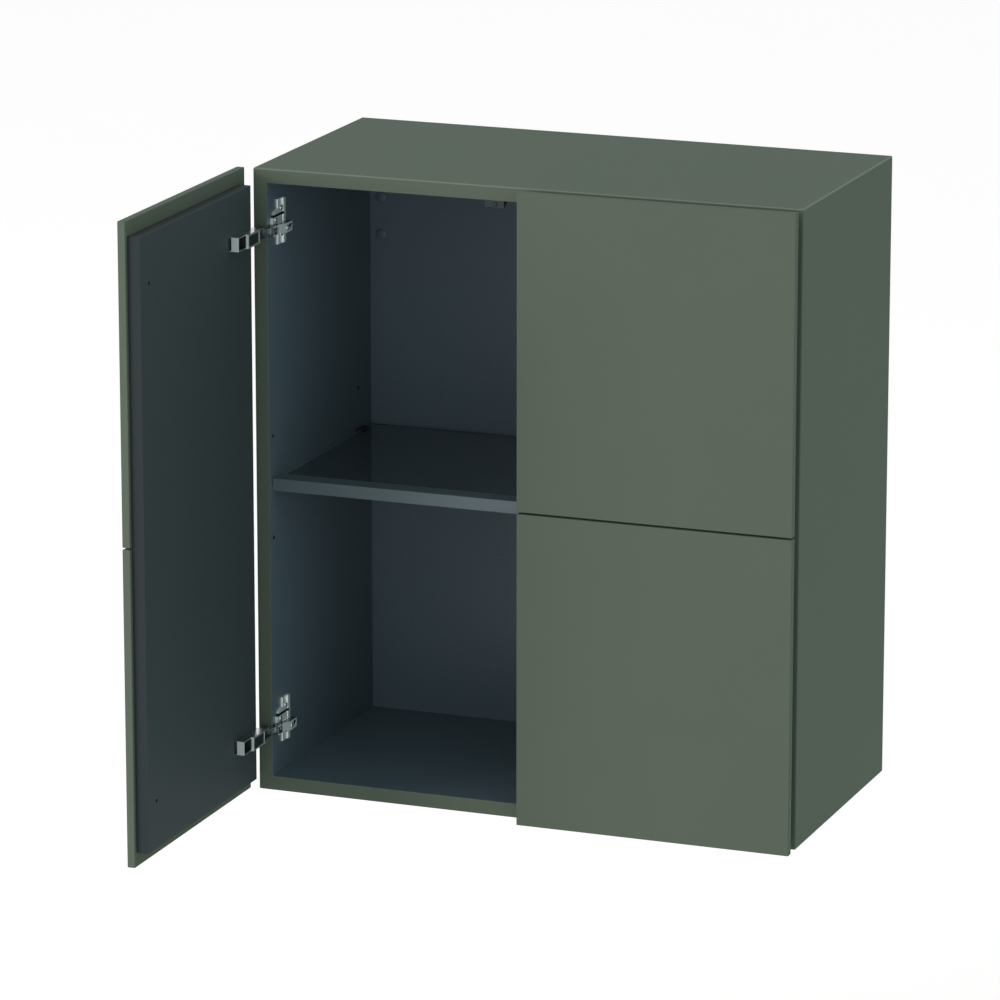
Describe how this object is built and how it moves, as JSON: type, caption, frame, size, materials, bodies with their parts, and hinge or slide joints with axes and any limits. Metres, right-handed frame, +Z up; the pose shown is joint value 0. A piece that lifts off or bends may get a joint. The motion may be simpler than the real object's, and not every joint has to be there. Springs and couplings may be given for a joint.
{
  "type": "bathroom cabinet",
  "caption": "Wall-hung bathroom cabinet: mitred lacquered box with tiled handleless doors on concealed hinges, a glass shelf in a metal front rail, and hook-on wall hangers.",
  "frame": {"origin": "on the wall plane, at the centre of the four wall-screw holes", "axes": "+X to the cabinet's right as seen from the front, +Y into the wall, +Z up"},
  "size_m": [0.721, 0.697, 0.785],
  "materials": {
    "olive_lacquer": "satin lacquer",
    "graphite_board": "matt melamine",
    "door_board": "matt melamine",
    "tinted_glass": "polished",
    "anodised_rail": "satin anodised",
    "hinge_nickel": "nickel plated",
    "zinc_steel": "zinc plated",
    "dark_plastic": "fine grain",
    "pad_rubber": "matt"
  },
  "bodies": {
    "carcass": {"back_panel": "graphite_board", "bottom_panel": "olive_lacquer", "door_stop_pads": "pad_rubber", "hanger_caps": "dark_plastic", "hanger_screws": "zinc_steel", "left_door_stop": "dark_plastic", "left_hanger": "zinc_steel", "left_hinge_adjusters": "hinge_nickel", "left_lower_hinge_arm": "hinge_nickel", "left_lower_hinge_pin": "hinge_nickel", "left_lower_hinge_plate": "hinge_nickel", "left_plate_screws": "hinge_nickel", "left_side_panel": "olive_lacquer", "left_upper_hinge_arm": "hinge_nickel", "left_upper_hinge_pin": "hinge_nickel", "left_upper_hinge_plate": "hinge_nickel", "left_wall_plate": "zinc_steel", "right_door_stop": "dark_plastic", "right_hanger": "zinc_steel", "right_hinge_adjusters": "hinge_nickel", "right_lower_hinge_arm": "hinge_nickel", "right_lower_hinge_pin": "hinge_nickel", "right_lower_hinge_plate": "hinge_nickel", "right_plate_screws": "hinge_nickel", "right_side_panel": "olive_lacquer", "right_upper_hinge_arm": "hinge_nickel", "right_upper_hinge_pin": "hinge_nickel", "right_upper_hinge_plate": "hinge_nickel", "right_wall_plate": "zinc_steel", "shelf_front_rail": "anodised_rail", "shelf_glass": "tinted_glass", "shelf_pins": "hinge_nickel", "shelf_rear_clips": "dark_plastic", "top_panel": "olive_lacquer"},
    "left_door": {"left_cup_screws": "hinge_nickel", "left_inner_panel": "door_board", "left_lower_hinge_cup": "hinge_nickel", "left_lower_tile": "olive_lacquer", "left_upper_hinge_cup": "hinge_nickel", "left_upper_tile": "olive_lacquer"},
    "right_door": {"right_cup_screws": "hinge_nickel", "right_inner_panel": "door_board", "right_lower_hinge_cup": "hinge_nickel", "right_lower_tile": "olive_lacquer", "right_upper_hinge_cup": "hinge_nickel", "right_upper_tile": "olive_lacquer"},
    "left_lower_lever": {"left_lower_hinge_lever": "hinge_nickel", "left_lower_hinge_roller": "hinge_nickel"},
    "left_upper_lever": {"left_upper_hinge_lever": "hinge_nickel", "left_upper_hinge_roller": "hinge_nickel"},
    "right_lower_lever": {"right_lower_hinge_lever": "hinge_nickel", "right_lower_hinge_roller": "hinge_nickel"},
    "right_upper_lever": {"right_upper_hinge_lever": "hinge_nickel", "right_upper_hinge_roller": "hinge_nickel"}
  },
  "joints": [
    {"name": "left_door_hinge", "type": "hinge", "parent": "carcass", "child": "left_door", "pos_m": [-0.34725, -0.35125, 0], "axis": [0, 0, -1], "range_deg": [-90, 10]},
    {"name": "right_door_hinge", "type": "hinge", "parent": "carcass", "child": "right_door", "pos_m": [0.34725, -0.35125, 0], "axis": [0, 0, 1], "range_deg": [0, 100]},
    {"name": "left_upper_lever_pivot", "type": "hinge", "parent": "carcass", "child": "left_upper_lever", "pos_m": [-0.327, -0.3435, 0.0685], "axis": [0, 0, -1], "range_deg": [-90, 10]},
    {"name": "left_lower_lever_pivot", "type": "hinge", "parent": "carcass", "child": "left_lower_lever", "pos_m": [-0.327, -0.3435, -0.5615], "axis": [0, 0, -1], "range_deg": [-90, 10]},
    {"name": "right_upper_lever_pivot", "type": "hinge", "parent": "carcass", "child": "right_upper_lever", "pos_m": [0.327, -0.3435, 0.0685], "axis": [0, 0, 1], "range_deg": [0, 100]},
    {"name": "right_lower_lever_pivot", "type": "hinge", "parent": "carcass", "child": "right_lower_lever", "pos_m": [0.327, -0.3435, -0.5615], "axis": [0, 0, 1], "range_deg": [0, 100]}
  ],
  "couplings": [
    {"joint": "left_upper_lever_pivot", "follows": "left_door_hinge", "ratio": 1},
    {"joint": "left_lower_lever_pivot", "follows": "left_door_hinge", "ratio": 1},
    {"joint": "right_upper_lever_pivot", "follows": "right_door_hinge", "ratio": 1},
    {"joint": "right_lower_lever_pivot", "follows": "right_door_hinge", "ratio": 1}
  ]
}
